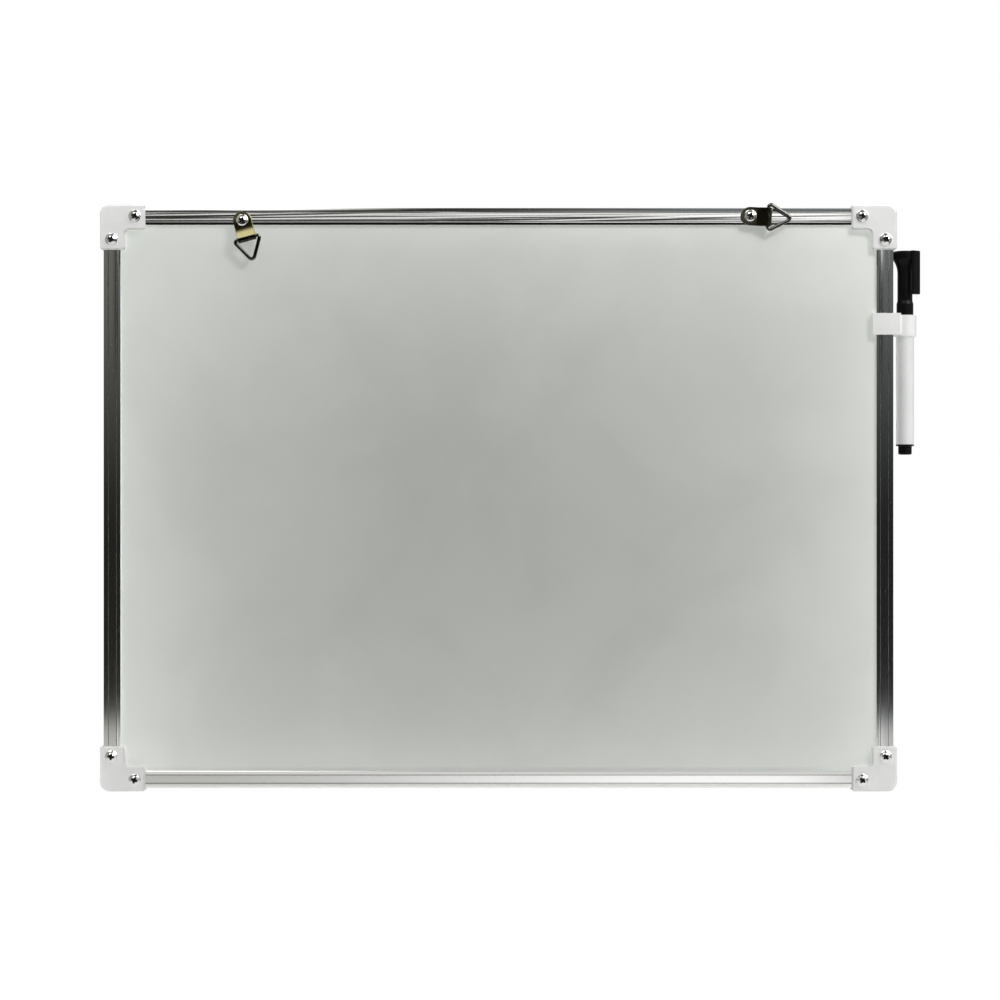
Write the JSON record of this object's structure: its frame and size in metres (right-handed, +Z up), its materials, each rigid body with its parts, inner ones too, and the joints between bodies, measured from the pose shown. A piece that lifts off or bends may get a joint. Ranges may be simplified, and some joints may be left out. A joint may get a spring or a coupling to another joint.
{
  "type": "whiteboard",
  "caption": "Small framed dry-erase board with aluminium rails, screwed plastic corners, strap hangers with triangular rings, and a side clip that holds a capped marker.",
  "frame": {"origin": "midway between the two hanger screws, on the top rail's centre line and on the crown of its hanger-side face", "axes": "+X runs to the right as seen from the hanger side, +Z is up on the hanging board, and the hanger side faces -Y"},
  "size_m": [0.4099, 0.0145, 0.2939],
  "materials": {
    "sheet": "smooth pale lacquer, wipes clean",
    "core": "brown fibreboard",
    "rail": "bright drawn aluminium",
    "corner": "white moulded plastic, satin",
    "screw": "bright plated steel",
    "strap": "brass-plated strip",
    "ring": "nickel-plated wire",
    "clip": "white moulded plastic, satin",
    "cap": "black moulded plastic",
    "barrel": "white moulded plastic",
    "section": "white moulded plastic, matt",
    "nib": "inked felt",
    "reservoir": "inked fibre"
  },
  "bodies": {
    "frame": {"back_sheet": "sheet", "front_sheet": "sheet", "core_board": "core", "top_rail": "rail", "bottom_rail": "rail", "left_rail": "rail", "right_rail": "rail", "corner_top_left": "corner", "corner_top_right": "corner", "corner_bottom_left": "corner", "corner_bottom_right": "corner", "corner_screws": "screw", "hanger_left_screw": "screw", "hanger_right_screw": "screw"},
    "hanger_left": {"hanger_left_strap": "strap"},
    "ring_left": {"hanger_left_ring": "ring"},
    "hanger_right": {"hanger_right_strap": "strap"},
    "ring_right": {"hanger_right_ring": "ring"},
    "clip": {"pen_clip": "clip"},
    "cap": {"marker_cap": "cap"},
    "pen": {"marker_barrel": "barrel", "marker_end_plug": "cap", "marker_section": "section", "marker_nib": "nib", "marker_reservoir": "reservoir"}
  },
  "joints": [
    {"name": "left_strap_swivel", "type": "hinge", "parent": "frame", "child": "hanger_left", "pos_m": [-0.128, 0, -0.0022], "axis": [0, -1, 0], "continuous": true},
    {"name": "left_ring_swing", "type": "hinge", "parent": "hanger_left", "child": "ring_left", "pos_m": [-0.12567, -0.00185, -0.01089], "axis": [-0.9659, 0, -0.2588], "range_deg": [0, 150]},
    {"name": "right_strap_swivel", "type": "hinge", "parent": "frame", "child": "hanger_right", "pos_m": [0.1257, 0, 0], "axis": [0, -1, 0], "continuous": true},
    {"name": "right_ring_swing", "type": "hinge", "parent": "hanger_right", "child": "ring_right", "pos_m": [0.13469, -0.00185, -0.00047], "axis": [-0.0523, 0, -0.9986], "range_deg": [0, 150]},
    {"name": "clip_slide", "type": "slide", "parent": "frame", "child": "clip", "axis": [0, 0, 1], "range_m": [-0.204, 0]},
    {"name": "marker_slide", "type": "slide", "parent": "clip", "child": "cap", "axis": [0, 0, 1], "range_m": [-0.024, 0]},
    {"name": "marker_draw", "type": "slide", "parent": "cap", "child": "pen", "axis": [0, 0, 1], "range_m": [-0.06, 0]}
  ]
}
